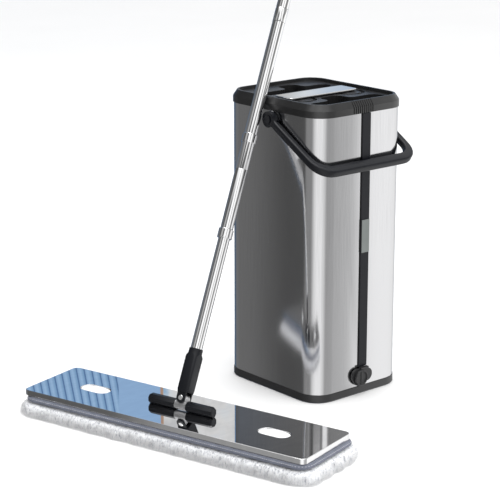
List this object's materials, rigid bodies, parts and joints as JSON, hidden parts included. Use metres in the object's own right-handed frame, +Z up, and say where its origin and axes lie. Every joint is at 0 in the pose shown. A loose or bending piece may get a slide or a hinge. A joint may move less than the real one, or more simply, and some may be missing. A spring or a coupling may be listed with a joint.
{
  "type": "mop and bucket with wringer",
  "caption": "Flat mop with a telescopic pole leaning on a tall bucket whose lid has a wash slot, a wringing slot and a polished scraper strip.",
  "frame": {"origin": "centre of the bucket's flat underside, on the floor", "axes": "+Z up; -Y is the bucket's front, with the drain and the black strip; the mop stands on the -X side and leans on the left edge of the rim"},
  "size_m": [0.6585, 0.457, 1.0921],
  "materials": {
    "steel_sheet": "satin brushed sheet, clear coated",
    "polished_steel": "mirror polished stainless",
    "chrome": "bright polished tube and fasteners",
    "cast_metal": "cast, lightly tumbled",
    "dark_plastic": "fine moulded grain",
    "black_plastic": "fine moulded grain",
    "grey_plastic": "semi-gloss moulded",
    "tank_plastic": "plain moulded",
    "badge": "blank moulded badge",
    "rubber": "matte",
    "binding": "woven edge binding",
    "fur": "deep microfibre pile"
  },
  "bodies": {
    "bucket": {"base_ring": "dark_plastic", "outer_shell": "steel_sheet", "inner_tank": "tank_plastic", "top_rim": "grey_plastic", "lid_deck": "grey_plastic", "strip_seat": "rubber", "scraper_strip": "polished_steel", "scraper_blade": "rubber", "front_strip": "black_plastic", "blank_badge": "badge", "drain_seal": "rubber", "drain_body": "dark_plastic", "drain_nut": "tank_plastic", "pivot_boss_left": "black_plastic", "pivot_boss_right": "black_plastic", "pivot_cap_left": "black_plastic", "pivot_cap_right": "black_plastic"},
    "bail": {"bail_handle": "black_plastic"},
    "drain_plug": {"drain_cap": "dark_plastic"},
    "mop_head": {"mop_plate": "polished_steel", "plate_core": "dark_plastic", "hook_strip_front": "rubber", "hook_strip_back": "rubber", "pad_backing": "binding", "pad_fur": "fur", "hinge_block_left": "black_plastic", "hinge_block_right": "black_plastic", "tilt_axle": "chrome", "hinge_screw_1": "chrome", "hinge_screw_2": "chrome", "hinge_screw_3": "chrome", "hinge_screw_4": "chrome"},
    "hinge_yoke": {"yoke": "cast_metal", "fold_pin": "chrome"},
    "lower_pole": {"pole_socket": "black_plastic", "socket_stud": "dark_plastic", "lower_tube": "chrome", "lock_plug": "black_plastic"},
    "upper_pole": {"slide_collar": "chrome", "clamp_ring": "chrome", "outer_tube": "chrome", "joint_ring": "chrome", "joint_insert": "black_plastic", "top_tube": "chrome", "grip": "black_plastic", "grip_cap": "black_plastic"}
  },
  "joints": [
    {"name": "mop_lift", "type": "slide", "parent": "bucket", "child": "mop_head", "axis": [0, 0, 1], "range_m": [0, 0.45]},
    {"name": "head_tilt", "type": "hinge", "parent": "mop_head", "child": "hinge_yoke", "pos_m": [-0.2719, -0.05282, 0.0377], "axis": [0.2652, -0.9642, 0], "range_deg": [0, 94]},
    {"name": "head_fold", "type": "hinge", "parent": "hinge_yoke", "child": "lower_pole", "pos_m": [-0.26805, -0.05176, 0.04509], "axis": [0.848, 0.2333, -0.4759], "range_deg": [-48, 0]},
    {"name": "pole_slide", "type": "slide", "parent": "lower_pole", "child": "upper_pole", "axis": [0.4495, 0.1595, 0.879], "range_m": [-0.135, 0]},
    {"name": "bail_swing", "type": "hinge", "parent": "bucket", "child": "bail", "pos_m": [0, -0.007, 0.3734], "axis": [-1, 0, 0], "range_deg": [0, 115]},
    {"name": "drain_turn", "type": "hinge", "parent": "bucket", "child": "drain_plug", "pos_m": [-0.003, -0.09705, 0.025], "axis": [0, -1, 0], "range_deg": [0, 90]}
  ]
}
